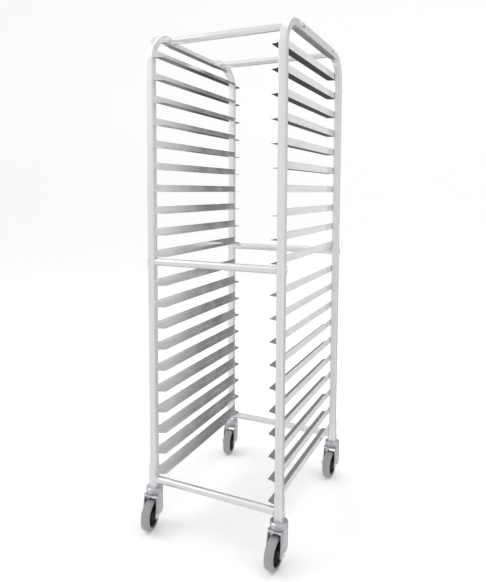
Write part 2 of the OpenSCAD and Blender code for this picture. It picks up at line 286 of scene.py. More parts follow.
add_area("key_light", (-3.0, -1.4, 3.4), (0, 0, 0.9), 2.4, 38)
add_area("top_light", (0.6, 0.4, 4.2), (0, 0, 0.9), 2.6, 32)
print("lamps:", len(bpy.data.lights))


# %% Make the floor and the curved wall
def add_stage():
    shape = bmesh.new()
    half, depth, wall, curve = 14.0, 9.0, 9.0, 3.0
    edge = [shape.verts.new((-half, -depth, 0)), shape.verts.new((half, -depth, 0))]
    path = [shape.edges.new(edge)]
    moved = bmesh.ops.extrude_edge_only(shape, edges=path)["geom"]
    verts = [v for v in moved if isinstance(v, bmesh.types.BMVert)]
    bmesh.ops.translate(shape, vec=(0, 2 * depth - curve, 0), verts=verts)
    last = [e for e in moved if isinstance(e, bmesh.types.BMEdge)]
    bmesh.ops.spin(shape, geom=verts + last, cent=(0, depth - curve, curve), axis=(1, 0, 0),
                   angle=math.pi / 2, steps=16)
    rim = [e for e in shape.edges if e.is_boundary and all(v.co.z > curve - 0.001 for v in e.verts)]
    moved = bmesh.ops.extrude_edge_only(shape, edges=rim)["geom"]
    verts = [v for v in moved if isinstance(v, bmesh.types.BMVert)]
    bmesh.ops.translate(shape, vec=(0, 0, wall), verts=verts)
    mesh = bpy.data.meshes.new("studio_floor")
    shape.to_mesh(mesh)
    shape.free()
    for face in mesh.polygons:
        face.use_smooth = True
    floor = bpy.data.objects.new("studio_floor", mesh)
    bpy.context.scene.collection.objects.link(floor)
    paint = bpy.data.materials.new("pale_paper")
    paint.use_nodes = True
    surface = paint.node_tree.nodes["Principled BSDF"]
    surface.inputs["Base Color"].default_value = (0.98, 0.98, 0.98, 1)
    surface.inputs["Roughness"].default_value = 0.95
    surface.inputs["Emission Color"].default_value = (1, 1, 1, 1)
    surface.inputs["Emission Strength"].default_value = 0.10
    mesh.materials.append(paint)
    floor.visible_glossy = False
    return floor


add_stage()
bpy.context.scene.view_settings.view_transform = "Standard"
print("stage ready")

# %% [markdown]
# ## Finishes
#
# Every metal here was drawn, pressed or plated, and each way leaves its own marks. Drawn tube has long
# faint streaks along its length, pressed zinc plate is mottled, and both are polished where hands and
# pans rub their edges. Each effect is one node group, so every finish can use it with its own values.


# %% Helpers for node groups
def new_group(name, inputs, outputs):
    """A shader node group with named float or vector sockets, and its two end nodes."""
    group = bpy.data.node_groups.new(name, "ShaderNodeTree")
    for label, kind, value in inputs:
        socket = group.interface.new_socket(label, in_out="INPUT", socket_type="NodeSocket" + kind)
        if value is not None:
            socket.default_value = value
    for label in outputs:
        group.interface.new_socket(label, in_out="OUTPUT", socket_type="NodeSocketFloat")
    return group, group.nodes.new("NodeGroupInput"), group.nodes.new("NodeGroupOutput")


def add_node(tree, kind, **values):
    """Add a node and set its unlinked inputs by name, with _ for a space."""
    made = tree.nodes.new(kind)
    for label, value in values.items():
        made.inputs[label.replace("_", " ")].default_value = value
    return made


def add_range(tree, source, low, high, new_low, new_high, smooth=False):
    """Map a value from one range to another and return the output socket."""
    made = add_node(tree, "ShaderNodeMapRange", From_Min=low, From_Max=high, To_Min=new_low,
                    To_Max=new_high)
    if smooth:
        made.interpolation_type = "SMOOTHSTEP"
    tree.links.new(source, made.inputs["Value"])
    return made.outputs[0]


def add_math(tree, operation, first, second):
    """Join two values, each a socket or a number, and return the output socket."""
    made = tree.nodes.new("ShaderNodeMath")
    made.operation = operation
    for place, value in enumerate((first, second)):
        if isinstance(value, (int, float)):
            made.inputs[place].default_value = value
        else:
            tree.links.new(value, made.inputs[place])
    return made.outputs[0]


# %% Group: drawn streaks
def make_streaks():
    """Long streaks: the vector comes in already squeezed along the direction of drawing."""
    group, start, end = new_group("drawn_streaks", [("Vector", "Vector", None)], ["Streaks", "Fine"])
    broad = add_node(group, "ShaderNodeTexNoise", Scale=0.22, Detail=3.0, Roughness=0.6)
    fine = add_node(group, "ShaderNodeTexNoise", Scale=1.0, Detail=2.0, Roughness=0.55)
    for noise in (broad, fine):
        group.links.new(start.outputs["Vector"], noise.inputs["Vector"])
    both = add_math(group, "ADD", add_math(group, "MULTIPLY", broad.outputs[0], 0.6),
                    add_math(group, "MULTIPLY", fine.outputs[0], 0.4))
    group.links.new(add_range(group, both, 0.36, 0.64, 0.0, 1.0), end.inputs["Streaks"])
    group.links.new(fine.outputs[0], end.inputs["Fine"])
    return group


streaks_group = make_streaks()
print("group:", streaks_group.name)


# %% Group: handling marks
def make_handling():
    """Soft smears from hands and cloths, and sparse short scuffs."""
    group, start, end = new_group("handling_marks", [("Vector", "Vector", None)], ["Smears", "Scuffs"])
    smear = add_node(group, "ShaderNodeTexNoise", Scale=11.0, Detail=4.0, Roughness=0.55, Distortion=0.6)
    scuff = add_node(group, "ShaderNodeTexNoise", Scale=95.0, Detail=5.0, Roughness=0.7, Distortion=1.4)
    for noise in (smear, scuff):
        group.links.new(start.outputs["Vector"], noise.inputs["Vector"])
    group.links.new(add_range(group, smear.outputs[0], 0.40, 0.66, 0.0, 1.0, True), end.inputs["Smears"])
    group.links.new(add_range(group, scuff.outputs[0], 0.60, 0.72, 0.0, 1.0, True), end.inputs["Scuffs"])
    return group


handling_group = make_handling()
print("group:", handling_group.name)


# %% Group: rubbed edges
def make_rubbed():
    """Edges that rubbing has polished: pointed places, broken up by noise."""
    sockets = [("Vector", "Vector", None), ("Pointiness", "Float", 0.5)]
    group, start, end = new_group("rubbed_edges", sockets, ["Rubbed"])
    edge = add_range(group, start.outputs["Pointiness"], 0.52, 0.60, 0.0, 1.0, True)
    patch = add_node(group, "ShaderNodeTexNoise", Scale=60.0, Detail=3.0, Roughness=0.6)
    group.links.new(start.outputs["Vector"], patch.inputs["Vector"])
    broken = add_range(group, patch.outputs[0], 0.35, 0.60, 0.25, 1.0, True)
    group.links.new(add_math(group, "MULTIPLY", edge, broken), end.inputs["Rubbed"])
    return group


rubbed_group = make_rubbed()
print("group:", rubbed_group.name)


# %% Group: dust near the floor
def make_dust():
    """Dust that thins out with height, in soft patches."""
    group, start, end = new_group("floor_dust", [("Vector", "Vector", None)], ["Dust"])
    split = group.nodes.new("ShaderNodeSeparateXYZ")
    group.links.new(start.outputs["Vector"], split.inputs[0])
    low = add_range(group, split.outputs["Z"], 0.0, 0.16, 1.0, 0.12, True)
    patch = add_node(group, "ShaderNodeTexNoise", Scale=140.0, Detail=6.0, Roughness=0.7)
    group.links.new(start.outputs["Vector"], patch.inputs["Vector"])
    soft = add_range(group, patch.outputs[0], 0.42, 0.68, 0.0, 1.0, True)
    group.links.new(add_math(group, "MULTIPLY", low, soft), end.inputs["Dust"])
    return group


dust_group = make_dust()
print("group:", dust_group.name)


# %% Helper: a material with its common nodes
def add_group(tree, group, vector):
    made = tree.nodes.new("ShaderNodeGroup")
    made.node_tree = group
    tree.links.new(vector, made.inputs["Vector"])
    return made


def new_material(name):
    """A material, its tree, its surface shader and its object coordinates."""
    material = bpy.data.materials.new(name)
    material.use_nodes = True
    tree = material.node_tree
    where = tree.nodes.new("ShaderNodeTexCoord").outputs["Object"]
    return material, tree, tree.nodes["Principled BSDF"], where


def add_ramp(tree, source, *stops):
    """Colour a value by stops of (place, colour) and return the colour socket."""
    ramp = tree.nodes.new("ShaderNodeValToRGB")
    points = ramp.color_ramp.elements
    while len(points) < len(stops):
        points.new(0.5)
    for point, (place, colour) in zip(points, stops):
        point.position = place
        point.color = (*colour, 1)
    tree.links.new(source, ramp.inputs[0])
    return ramp.outputs["Color"]


def add_bump(tree, surface, height, strength, distance):
    bump = add_node(tree, "ShaderNodeBump", Strength=strength, Distance=distance)
    tree.links.new(height, bump.inputs["Height"])
    tree.links.new(bump.outputs[0], surface.inputs["Normal"])


# %% [markdown]
# ## Drawn aluminium
#
# Mill finish tube and angle are satin, pale and a little streaky along the direction in which they were
# drawn. The same recipe serves the upright posts, the bars across and the slides front to back. Only
# the squeeze of the coordinates changes, so that the streaks always run along the piece.

# %% Material: drawn aluminium
FINE_PER_M = 700.0
LONG_PER_M = 5.0


def drawn_aluminium(name, along, pale, shade, smooth, rough):
    material, tree, surface, where = new_material(name)
    squeeze = tree.nodes.new("ShaderNodeMapping")
    squeeze.inputs["Scale"].default_value = [LONG_PER_M if axis == along else FINE_PER_M for axis in "XYZ"]
    tree.links.new(where, squeeze.inputs["Vector"])
    drawn = add_group(tree, streaks_group, squeeze.outputs[0])
    marks = add_group(tree, handling_group, where)
    rubbed = add_group(tree, rubbed_group, where)
    shape = tree.nodes.new("ShaderNodeNewGeometry")
    tree.links.new(shape.outputs["Pointiness"], rubbed.inputs["Pointiness"])
    tone = add_math(tree, "MULTIPLY", drawn.outputs["Streaks"], 0.7)
    tone = add_math(tree, "ADD", tone, add_math(tree, "MULTIPLY", rubbed.outputs["Rubbed"], 0.3))
    tone = add_math(tree, "SUBTRACT", tone, add_math(tree, "MULTIPLY", marks.outputs["Scuffs"], 0.08))
    tree.links.new(add_ramp(tree, tone, (0.0, shade), (0.8, pale)), surface.inputs["Base Color"])
    dull = add_math(tree, "ADD", add_math(tree, "MULTIPLY", marks.outputs["Smears"], 0.40),
                    add_math(tree, "MULTIPLY", drawn.outputs["Fine"], 0.40))
    dull = add_math(tree, "SUBTRACT", dull, add_math(tree, "MULTIPLY", rubbed.outputs["Rubbed"], 0.4))
    tree.links.new(add_range(tree, dull, 0.0, 1.0, smooth, rough), surface.inputs["Roughness"])
    surface.inputs["Metallic"].default_value = 1.0
    add_bump(tree, surface, drawn.outputs["Fine"], 0.04, 0.0003)
    return material


post_metal = drawn_aluminium("post_aluminium", "Z", (0.90, 0.905, 0.915), (0.79, 0.795, 0.81), 0.34, 0.48)
bar_metal = drawn_aluminium("bar_aluminium", "X", (0.88, 0.885, 0.895), (0.77, 0.775, 0.79), 0.30, 0.46)
slide_metal = drawn_aluminium("slide_aluminium", "Y", (0.91, 0.915, 0.925), (0.80, 0.805, 0.82), 0.13, 0.22)
rail_metal = drawn_aluminium("rail_aluminium", "Y", (0.91, 0.915, 0.925), (0.80, 0.805, 0.82), 0.34, 0.48)
print("drawn finishes ready")

# %% [markdown]
# ## Zinc plate and bright steel
#
# The forks and swivel caps are pressed from sheet and zinc plated. Plating is cooler and darker than
# aluminium, mottled where the crystals of the coat catch the light, and it dulls to a dusty grey near
# the floor. Bolts and nuts have the same coat, but they are turned and so more even.


# %% Material: zinc plate
def plated(name, pale, shade, smooth, rough, spangle):
    material, tree, surface, where = new_material(name)
    crystals = add_node(tree, "ShaderNodeTexVoronoi", Scale=spangle)
    cloud = add_node(tree, "ShaderNodeTexNoise", Scale=spangle * 0.35, Detail=4.0, Roughness=0.6)
    for texture in (crystals, cloud):
        tree.links.new(where, texture.inputs["Vector"])
    split = tree.nodes.new("ShaderNodeSeparateColor")
    tree.links.new(crystals.outputs["Color"], split.inputs[0])
    marks = add_group(tree, handling_group, where)
    dust = add_group(tree, dust_group, where)
    rubbed = add_group(tree, rubbed_group, where)
    shape = tree.nodes.new("ShaderNodeNewGeometry")
    tree.links.new(shape.outputs["Pointiness"], rubbed.inputs["Pointiness"])
    tone = add_math(tree, "ADD", add_math(tree, "MULTIPLY", split.outputs[0], 0.35),
                    add_math(tree, "MULTIPLY", cloud.outputs[0], 0.65))
    tone = add_math(tree, "ADD", tone, add_math(tree, "MULTIPLY", rubbed.outputs["Rubbed"], 0.25))
    tone = add_math(tree, "SUBTRACT", tone, add_math(tree, "MULTIPLY", dust.outputs["Dust"], 0.30))
    tree.links.new(add_ramp(tree, tone, (0.2, shade), (0.75, pale)), surface.inputs["Base Color"])
    dull = add_math(tree, "ADD", add_math(tree, "MULTIPLY", split.outputs[1], 0.4),
                    add_math(tree, "MULTIPLY", marks.outputs["Smears"], 0.4))
    dull = add_math(tree, "ADD", dull, add_math(tree, "MULTIPLY", dust.outputs["Dust"], 0.5))
    tree.links.new(add_range(tree, dull, 0.0, 1.0, smooth, rough), surface.inputs["Roughness"])
    tree.links.new(add_range(tree, dust.outputs["Dust"], 0.0, 1.0, 1.0, 0.75), surface.inputs["Metallic"])
    add_bump(tree, surface, cloud.outputs[0], 0.12, 0.0003)
    return material


zinc_metal = plated("zinc_plate", (0.68, 0.69, 0.71), (0.47, 0.48, 0.51), 0.26, 0.46, 420.0)
bolt_metal = plated("bright_steel", (0.84, 0.84, 0.85), (0.66, 0.66, 0.68), 0.20, 0.38, 900.0)
dark_metal = plated("dark_steel", (0.30, 0.30, 0.31), (0.16, 0.16, 0.17), 0.34, 0.55, 800.0)
print("plated finishes ready")

# %% [markdown]
# ## Wheel materials
#
# The wheel cores are moulded black plastic with a fine spark-eroded grain. The tyres are grey rubber
# that leaves no marks: matte, slightly speckled, and paler with dust where the tread meets the floor.


# %% Material: moulded black plastic
def moulded_plastic():
    material, tree, surface, where = new_material("black_plastic")
    grain = add_node(tree, "ShaderNodeTexNoise", Scale=1500.0, Detail=2.0, Roughness=0.5)
    tree.links.new(where, grain.inputs["Vector"])
    dust = add_group(tree, dust_group, where)
    marks = add_group(tree, handling_group, where)
    colour = add_ramp(tree, dust.outputs["Dust"], (0.0, (0.018, 0.018, 0.020)),
                      (1.0, (0.075, 0.073, 0.070)))
    tree.links.new(colour, surface.inputs["Base Color"])
    dull = add_math(tree, "ADD", add_math(tree, "MULTIPLY", marks.outputs["Smears"], 0.5),
                    add_math(tree, "MULTIPLY", dust.outputs["Dust"], 0.5))
    tree.links.new(add_range(tree, dull, 0.0, 1.0, 0.38, 0.72), surface.inputs["Roughness"])
    add_bump(tree, surface, grain.outputs[0], 0.25, 0.0002)
    return material


core_plastic = moulded_plastic()
print("material:", core_plastic.name)


# %% Material: grey rubber
def grey_rubber():
    material, tree, surface, where = new_material("grey_tyre")
    speck = add_node(tree, "ShaderNodeTexNoise", Scale=1100.0, Detail=3.0, Roughness=0.7)
    cloud = add_node(tree, "ShaderNodeTexNoise", Scale=34.0, Detail=4.0, Roughness=0.6)
    for texture in (speck, cloud):
        tree.links.new(where, texture.inputs["Vector"])
    dust = add_group(tree, dust_group, where)
    tone = add_math(tree, "ADD", add_math(tree, "MULTIPLY", speck.outputs[0], 0.35),
                    add_math(tree, "MULTIPLY", cloud.outputs[0], 0.45))
    tone = add_math(tree, "ADD", tone, add_math(tree, "MULTIPLY", dust.outputs["Dust"], 0.22))
    colour = add_ramp(tree, tone, (0.25, (0.285, 0.287, 0.297)), (0.70, (0.385, 0.386, 0.392)))
    tree.links.new(colour, surface.inputs["Base Color"])
    tree.links.new(add_range(tree, tone, 0.2, 0.8, 0.62, 0.90), surface.inputs["Roughness"])
    add_bump(tree, surface, speck.outputs[0], 0.30, 0.0003)
    return material


tyre_rubber = grey_rubber()
print("material:", tyre_rubber.name)

# %% [markdown]
# ## Helpers for shapes
#
# Round parts are turned: an outline is spun about an axis, as on a lathe, and its sharp rims are then
# bevelled. Several loose solids that belong to one named piece are gathered into one mesh. A small
# bevel on every edge matters on metal, because that is where the light is caught.


# %% Turn an outline and round its edges
def turned(outline, steps=40):
    """Spin a closed outline of (radius, height) points about the Z axis."""
    shape = bmesh.new()
    verts = [shape.verts.new((radius, 0, height)) for radius, height in outline]
    pairs = list(zip(verts, verts[1:]))
    if outline[0][0] > 0 or outline[-1][0] > 0:
        pairs.append((verts[-1], verts[0]))
    edges = [shape.edges.new(pair) for pair in pairs]
    bmesh.ops.spin(shape, geom=verts + edges, cent=(0, 0, 0), axis=(0, 0, 1), angle=2 * math.pi,
                   steps=steps, use_merge=True)
    bmesh.ops.remove_doubles(shape, verts=shape.verts, dist=0.001 * MM)
    bmesh.ops.recalc_face_normals(shape, faces=shape.faces)
    return shape


def round_edges(shape, width, segments=2, sharper_than=35):
    """Bevel every edge that is sharper than an angle in degrees."""
    limit = math.radians(sharper_than)
    edges = [e for e in shape.edges if len(e.link_faces) == 2 and e.calc_face_angle(0) > limit]
    bmesh.ops.bevel(shape, geom=edges, offset=width, segments=segments, profile=0.5, affect="EDGES",
                    clamp_overlap=True, material=-1)
    return shape


# %% Gather solids and make a piece
def gather(target, part, *places):
    """Copy a finished solid into a larger mesh at each place."""
    for place in places:
        mesh = bpy.data.meshes.new("part")
        part.to_mesh(mesh)
        mesh.transform(place)
        if place.determinant() < 0:
            mesh.flip_normals()
        target.from_mesh(mesh)
        bpy.data.meshes.remove(mesh)
    part.free()


def even_normals(mesh, apart):
    """Weigh each corner's normal by face area, so that a small bevel can't bend a large flat face."""
    limit = math.cos(math.radians(apart))
    meeting = [[] for vertex in mesh.vertices]
    for face in mesh.polygons:
        for index in face.vertices:
            meeting[index].append(face.index)
    normals = [face.normal.copy() for face in mesh.polygons]
    heavy = [face.normal * face.area for face in mesh.polygons]
    corners = []
    for face in mesh.polygons:
        own = normals[face.index]
        for index in face.vertices:
            near = [heavy[other] for other in meeting[index] if own.dot(normals[other]) > limit]
            corners.append(sum(near, Vector()).normalized())
    mesh.normals_split_custom_set(corners)


def piece(name, shape, material, slot, body, *nodes):
    """Make a mesh into a piece that rides on a body, and hide the frame nodes that it takes the place of."""
    mesh = bpy.data.meshes.new(name)
    shape.to_mesh(mesh)
    shape.free()
    mesh.polygons.foreach_set("use_smooth", [True] * len(mesh.polygons))
    mesh.set_sharp_from_angle(angle=math.radians(38))
    even_normals(mesh, 38)
    mesh.materials.append(material)
    made = bpy.data.objects.new(name, mesh)
    bpy.context.scene.collection.objects.link(made)
    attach(made, body)
    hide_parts(*nodes)
    return made


def softened(node, width):
    """A merged copy of a frame node's mesh with its flat faces joined and its edges bevelled."""
    shape = bmesh.new()
    shape.from_mesh(frame["nodes"][node].data)
    bmesh.ops.remove_doubles(shape, verts=shape.verts, dist=0.01 * MM)
    bmesh.ops.dissolve_limit(shape, angle_limit=math.radians(1), verts=shape.verts, edges=shape.edges)
    return round_edges(shape, width)


TO_X = Matrix.Rotation(math.pi / 2, 4, "Y")
print("shape helpers ready")

# %% [markdown]
# ## Posts
#
# Each post is one length of square tube with rounded corners, bent over at the top. It is drawn as a
# bender would make it: a rounded square, pushed straight up, swept round the bend and pushed on along
# the tail. Sweeping with spin keeps the four walls true, which a bent box wouldn't.

# %% Bend a post
POST_CORNER = 3.4 * MM


def post_shape():
    """The front right post as a closed skin."""
    shape = bmesh.new()
    ring = bmesh.ops.create_circle(shape, cap_ends=True, radius=post_size / math.sqrt(2), segments=4)
    bmesh.ops.rotate(shape, cent=(0, 0, 0), matrix=Matrix.Rotation(math.pi / 4, 3, "Z"), verts=ring["verts"])
    bmesh.ops.bevel(shape, geom=shape.verts[:], offset=POST_CORNER, segments=4, profile=0.5,
                    affect="VERTICES", clamp_overlap=False, material=-1)
    bmesh.ops.translate(shape, vec=(post_x, -post_y, foot_z), verts=shape.verts)
    last = push_on(shape, shape.faces[:], (0, 0, bend_z - foot_z))
    turn_centre = (post_x, bend_radius - post_y, bend_z)
    swept = bmesh.ops.spin(shape, geom=last, cent=turn_centre, axis=(1, 0, 0), angle=-math.pi / 2,
                           steps=20)["geom_last"]
    tail = -tail_y - (bend_radius - post_y)
    push_on(shape, [f for f in swept if isinstance(f, bmesh.types.BMFace)], (0, tail, 0))
    bmesh.ops.remove_doubles(shape, verts=shape.verts, dist=0.001 * MM)
    bmesh.ops.recalc_face_normals(shape, faces=shape.faces)
    return shape


def push_on(shape, faces, move):
    """Extrude faces, move the new end and return all that belongs to it."""
    made = bmesh.ops.extrude_face_region(shape, geom=faces)["geom"]
    verts = [v for v in made if isinstance(v, bmesh.types.BMVert)]
    bmesh.ops.translate(shape, vec=move, verts=verts)
    return made


for corner in CORNERS:
    post = bmesh.new()
    gather(post, post_shape(), Matrix.Diagonal((side_of(corner), -end_of(corner), 1, 1)))
    round_edges(post, 0.4 * MM, 2, 60)
    made = piece("post_" + corner, post, post_metal, "mill_aluminium", "root", "post_" + corner)
    loose = sum(1 for e in made.data.edges if e.is_loose)
    print(made.name, len(made.data.polygons), "faces", loose, "loose edges")

# %% [markdown]
# ## Crossbars, collars and top rails
#
# The crossbars are round tube cut square, so they are turned. The collars and the sleeves at the feet
# are folded sheet whose shape in the frame is already right. They only lack the small rounding that a
# folded or sawn edge has, so copies of them are merged and bevelled.

# %% Turn the crossbars
BARS = ["crossbar_" + level + "_" + end for level in ("top", "mid", "low") for end in ("front", "rear")]
BAR_WALL = 1.6 * MM


def bar_centre(node):
    low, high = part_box(node)
    return (low + high) / 2


for node in BARS:
    low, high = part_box(node)
    radius, half = (high.z - low.z) / 2, (high.x - low.x) / 2
    bore = radius - BAR_WALL
    tube = turned([(bore, -half), (radius, -half), (radius, half), (bore, half)], 56)
    bar = bmesh.new()
    gather(bar, round_edges(tube, 0.4 * MM), Matrix.Translation(bar_centre(node)) @ TO_X)
    piece(node, bar, bar_metal, "mill_aluminium", "root", node)
print("crossbars:", len(BARS))

# %% Bevel the collars, sleeves and top rails
SHEET_PARTS = (("top_collars", bar_metal), ("mid_collars", post_metal), ("foot_sleeves", post_metal),
               ("top_rail_left", rail_metal), ("top_rail_right", rail_metal))
for node, metal in SHEET_PARTS:
    made = piece(node, softened(node, 0.5 * MM), metal, "mill_aluminium", "root", node)
    print(node, len(made.data.polygons), "faces")

# %% [markdown]
# ## Slides
#
# A slide is a length of extruded angle. The cross-section is drawn as a strip of small quads, so that
# the shelf's ends can be cut at a slant by moving the ends of the strip, and then it is extruded from
# front to back. The left slide is the mirror image of the right one.

# %% Measure a slide
SLIDES = ["slide_pair_%02d" % level for level in range(1, 21)]
SLIDE_T = 1.6 * MM
SHELF_CORNER = 5.0 * MM
slide_low, slide_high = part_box(SLIDES[0])
slide_web = slide_high.z - slide_low.z
slide_face = slide_high.x
slide_half = slide_high.y
shelf_edge = min(abs(spot.x) for spot in corners_of(SLIDES[0]))
shelf_half = SHELF_CORNER + max(
    spot.y for spot in corners_of(SLIDES[0]) if abs(spot.x) < shelf_edge + 0.01 * MM)
print("slide web", round(slide_web, 4), "shelf reaches in to", round(shelf_edge, 4))


# %% Draw the angle's cross-section
def slide_end(inward):
    """How far the slide reaches forward at a distance inward from its upright face."""
    shelf = slide_face - shelf_edge
    stops = [(SLIDE_T, slide_half), (2 * SHELF_CORNER, shelf_half + SHELF_CORNER),
             (shelf - SHELF_CORNER, shelf_half), (shelf, shelf_half - SHELF_CORNER)]
    if inward <= SLIDE_T:
        return slide_half
    for (near, first), (far, second) in zip(stops, stops[1:]):
        if inward <= far + 0.001 * MM:
            return first + (second - first) * (inward - near) / (far - near)
    return stops[-1][1]


def angle_shape():
    """The right slide of a pair, with its foot at height zero."""
    shelf = slide_face - shelf_edge
    shape = bmesh.new()
    across_shelf = [0, SLIDE_T, 2 * SHELF_CORNER, shelf - SHELF_CORNER, shelf]
    strip = [(inward, 0, SLIDE_T) for inward in across_shelf]
    rows = [[shape.verts.new((slide_face - inward, 0, height)) for height in (low, high)]
            for inward, low, high in strip]
    for near, far in zip(rows, rows[1:]):
        shape.faces.new((near[0], far[0], far[1], near[1]))
    top = [shape.verts.new((slide_face - inward, 0, slide_web)) for inward in (0, SLIDE_T)]
    shape.faces.new((rows[0][1], rows[1][1], top[1], top[0]))
    push_on(shape, shape.faces[:], (0, 1, 0))
    for vert in shape.verts:
        end = slide_end(slide_face - vert.co.x)
        vert.co.y = end if vert.co.y > 0.5 else -end
    bmesh.ops.recalc_face_normals(shape, faces=shape.faces)
    bmesh.ops.dissolve_limit(shape, angle_limit=math.radians(1), verts=shape.verts, edges=shape.edges)
    return round_edges(shape, 0.45 * MM)


for node in SLIDES:
    up = Matrix.Translation((0, 0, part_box(node)[0].z))
    pair = bmesh.new()
    gather(pair, angle_shape(), up, up @ Matrix.Diagonal((-1, 1, 1, 1)))
    made = piece(node, pair, slide_metal, "slide_aluminium", "root", node)
print("slides:", 2 * len(SLIDES), "faces in a pair:", len(made.data.polygons))

# %% [markdown]
# ## Rivets, bolts and screws
#
# A row of identical fasteners is one outline spun once and copied to each hole. The rivets are small
# and there are eighty of them, so they get few faces. The bolts that hold the crossbars have a low dome
# over a thin rim, and the dark screws in the top rails have a round socket.

# %% Set the rivets
RIVET_RADIUS = 4.2 * MM
RIVET_STEM = 2.4 * MM
RIVET_DOME = 1.4 * MM
RIVET_TAIL = 2.0 * MM
POST_WALL = 1.6 * MM


def rivet_shape():
    """A domed head with a dimple, and the stem behind it, along +Z towards the pan."""
    back = -(SLIDE_T + POST_WALL + RIVET_TAIL)
    outline = [(0, back), (RIVET_STEM, back), (RIVET_STEM, 0), (RIVET_RADIUS, 0),
               (RIVET_RADIUS, 0.35 * RIVET_DOME), (0.72 * RIVET_RADIUS, 0.88 * RIVET_DOME),
               (0.36 * RIVET_RADIUS, RIVET_DOME), (0.24 * RIVET_RADIUS, 0.6 * RIVET_DOME),
               (0, 0.6 * RIVET_DOME)]
    return turned(outline, 12)


def rivet_places():
    for node in SLIDES:
        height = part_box(node)[0].z + (SLIDE_T + slide_web) / 2
        for side in (-1, 1):
            for end in (-1, 1):
                spot = Vector((side * (slide_face - SLIDE_T), end * post_y, height))
                yield Matrix.Translation(spot) @ Matrix.Rotation(-side * math.pi / 2, 4, "Y")


rivets = bmesh.new()
gather(rivets, rivet_shape(), *rivet_places())
made = piece("slide_rivets", rivets, bolt_metal, "bright_steel", "root", "slide_rivets")
print("rivets have", len(made.data.polygons), "faces")

# %% Set the crossbar bolts
bolt_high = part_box("crossbar_bolts")[1]
collar_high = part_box("mid_collars")[1]
BOLT_HEAD_R = 7.0 * MM
BOLT_SHANK_R = 4.0 * MM
BOLT_REACH = 50.0 * MM


def bolt_shape():
    """A domed head over a thin rim, along +Z, with its shank behind."""
    dome_h = bolt_high.x - collar_high.x
    rim = 1.2 * MM
    dome = [(BOLT_HEAD_R * math.cos(turn), rim + (dome_h - rim) * math.sin(turn))
            for turn in [math.radians(15 * step) for step in range(6)]]
    outline = [(0, -BOLT_REACH), (BOLT_SHANK_R, -BOLT_REACH), (BOLT_SHANK_R, 0), (BOLT_HEAD_R, 0)]
    shape = turned(outline + dome + [(0, dome_h)], 28)
    return round_edges(shape, 0.25 * MM)


def bolt_places():
    for node in BARS:
        centre = bar_centre(node)
        for side in (-1, 1):
            spot = Matrix.Translation((side * collar_high.x, centre.y, centre.z))
            yield spot @ Matrix.Rotation(side * math.pi / 2, 4, "Y")


bolts = bmesh.new()
gather(bolts, bolt_shape(), *bolt_places())
made = piece("crossbar_bolts", bolts, bolt_metal, "bright_steel", "root", "crossbar_bolts")
print("bolts have", len(made.data.polygons), "faces")


# %% Set the top rail screws
def screw_shape(head_r, head_h, length):
    """A button head with a round socket, along +Z, with its shank behind."""
    outline = [(0, -length), (0.5 * head_r, -length), (0.5 * head_r, 0), (head_r, 0),
               (head_r, 0.45 * head_h), (0.8 * head_r, 0.85 * head_h), (0.55 * head_r, head_h)]
    shape = turned(outline + [(0.5 * head_r, head_h), (0.45 * head_r, 0.4 * head_h), (0, 0.4 * head_h)], 24)
    return shape


screw_low, screw_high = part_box("top_rail_screws")
SCREW_HEAD_R = 4.5 * MM
SCREW_HEAD_H = 2.0 * MM
SCREW_LENGTH = 7.0 * MM
screw_face = screw_high.x - SCREW_HEAD_H
screw_y = (screw_high.y - screw_low.y) / 2 - SCREW_HEAD_R
screws = bmesh.new()
gather(screws, screw_shape(SCREW_HEAD_R, SCREW_HEAD_H, SCREW_LENGTH), *[
    Matrix.Translation((side * screw_face, end * screw_y, top_z))
    @ Matrix.Rotation(side * math.pi / 2, 4, "Y") for side in (-1, 1) for end in (-1, 1)])
piece("top_rail_screws", screws, dark_metal, "dark_steel", "root", "top_rail_screws")
print("top rail screws: 4")

# %% [markdown]
# ## Swivel caps
#
# The cap is pressed sheet with a rolled shoulder. A groove round its side splits it into two bright
# bands, and its skirt hides the ring of balls.

# %% Turn the swivel caps
BALL_ROOM = 3.5 * MM
SHEET = 2.2 * MM
KING_HOLE = 8.1 * MM


def cap_shape():
    top, low = cap_high.z, cap_low.z
    groove = top - 0.52 * (top - low)
    outline = [(KING_HOLE, top), (race_radius - 3 * MM, top), (race_radius, top - 3 * MM),
               (race_radius, groove + 0.9 * MM), (race_radius - 1.3 * MM, groove + 0.2 * MM),
               (race_radius - 1.3 * MM, groove - 0.6 * MM), (race_radius, groove - 1.3 * MM),
               (race_radius, low), (race_radius - SHEET, low), (race_radius - SHEET, low + BALL_ROOM),
               (KING_HOLE, low + BALL_ROOM)]
    return round_edges(turned(outline, 64), 0.7 * MM, 3, 25)


caps = bmesh.new()
gather(caps, cap_shape(), *[
    Matrix.Translation((side * post_x, end * post_y, 0)) for side in (-1, 1) for end in (-1, 1)])
piece("swivel_caps", caps, zinc_metal, "zinc_steel", "root", "swivel_caps")
print("swivel caps: 4")

# %% [markdown]
# ## Forks
#
# A fork is one pressing. Seen from above, its crown is straight at the front and follows the round race
# at the back. Its rim is folded down all the way round: a short lip in front, a leg on each side and a
# short skirt behind. The legs lean forward to the axle. So every point of the crown's outline has a
# partner on the fork's lower edge, the fold between them is rounded, and the sheet gets its thickness
# last.

# %% Draw the fork's upper and lower outlines
FORK_T = 3.0 * MM
HAT_RISE = 4.0 * MM
crown_top = hat_top - HAT_RISE
crown_radius = race_radius - 0.8 * MM
FRONT_ROUND = 5.0 * MM
LIP = 1.2 * MM
RECESS = 16.0 * MM
EAR_TURN = 0.72


